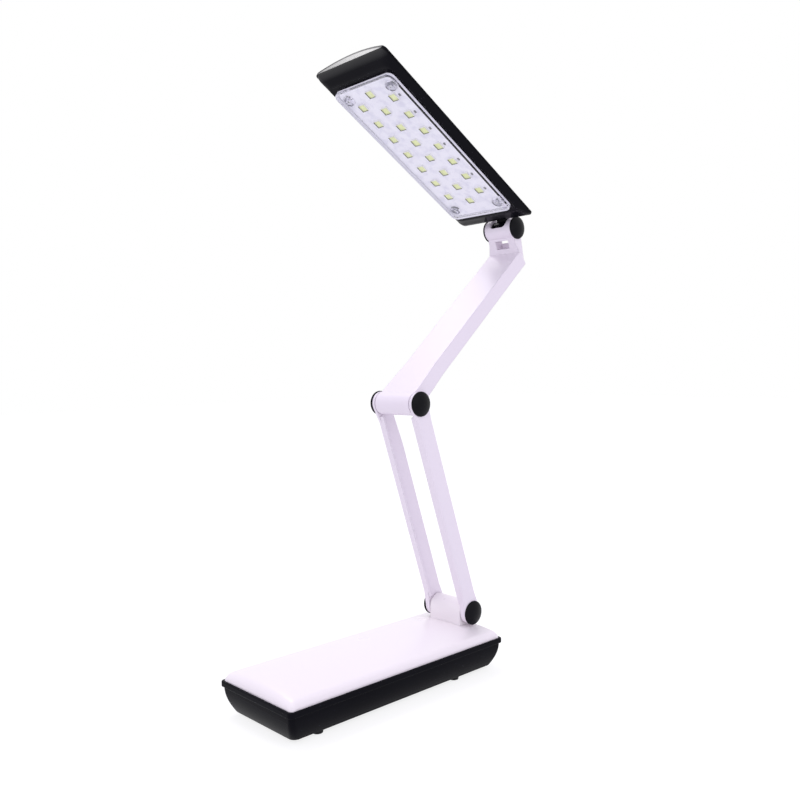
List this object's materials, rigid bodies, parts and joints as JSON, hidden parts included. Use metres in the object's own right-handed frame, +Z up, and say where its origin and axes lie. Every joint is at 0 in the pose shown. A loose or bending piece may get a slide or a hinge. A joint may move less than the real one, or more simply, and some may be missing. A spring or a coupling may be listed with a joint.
{
  "type": "folding led desk lamp",
  "caption": "Folding LED desk lamp: black tub base with a white crowned cover, a two-rail lower arm, a solid upper arm and a flat black head with a clear lens.",
  "frame": {"origin": "on the desk, under the middle of the lamp's whole box in the pictured stance", "axes": "+X along the base towards its hinge end, +Y across the lamp along the hinge pins, +Z up"},
  "size_m": [0.2526, 0.077, 0.4284],
  "materials": {
    "black_shell": "glossy moulded plastic",
    "black_fitting": "satin moulded plastic",
    "white_shell": "glossy moulded plastic",
    "foot_rubber": "matt rubber",
    "steel": "bright zinc-plated steel",
    "washer_nylon": "plain nylon",
    "clear_lens": "clear moulded acrylic",
    "led_board": "white solder mask",
    "led_body": "white package",
    "led_phosphor": "yellow-green resin",
    "resistor": "black chip resistor",
    "circuit_board": "green solder mask",
    "battery_wrap": "heat-shrunk sleeve",
    "lead_insulation": "plain insulated wire"
  },
  "bodies": {
    "base": {"base_tub": "black_shell", "feet": "foot_rubber", "base_cover": "white_shell", "base_screws": "steel", "battery": "battery_wrap", "control_board": "circuit_board", "power_switch": "black_fitting", "power_inlet": "black_fitting"},
    "button": {"power_button": "black_fitting"},
    "lower_arm": {"far_rail": "white_shell", "near_rail": "white_shell", "wire_strip": "white_shell", "arm_lead": "lead_insulation", "base_hinge_pin": "steel", "base_hinge_washers": "washer_nylon", "base_hinge_caps": "black_shell", "elbow_pin": "steel", "elbow_washers": "washer_nylon", "elbow_caps": "black_shell"},
    "upper_arm": {"upper_arm_shell": "white_shell", "upper_arm_plate": "white_shell", "plate_screws": "steel", "head_hinge_pin": "steel", "head_hinge_washers": "washer_nylon", "head_hinge_caps": "black_shell"},
    "head": {"head_housing": "black_shell", "head_cover": "white_shell", "lens": "clear_lens", "lens_screws": "steel", "led_board": "led_board", "leds": "led_body", "led_windows": "led_phosphor", "resistors": "resistor"}
  },
  "joints": [
    {"name": "base_hinge", "type": "hinge", "parent": "base", "child": "lower_arm", "pos_m": [0.05132, 0, 0.0397], "axis": [0, -1, 0], "range_deg": [-18, 70]},
    {"name": "elbow_hinge", "type": "hinge", "parent": "lower_arm", "child": "upper_arm", "pos_m": [0.00133, 0, 0.19537], "axis": [0, -1, 0], "range_deg": [-108, 20]},
    {"name": "head_hinge", "type": "hinge", "parent": "upper_arm", "child": "head", "pos_m": [0.11748, 0, 0.32738], "axis": [0, -1, 0], "range_deg": [-30, 67]},
    {"name": "button_press", "type": "slide", "parent": "base", "child": "button", "axis": [-1, 0, 0], "range_m": [0, 0.001], "stiffness_N_per_m": 2500}
  ]
}
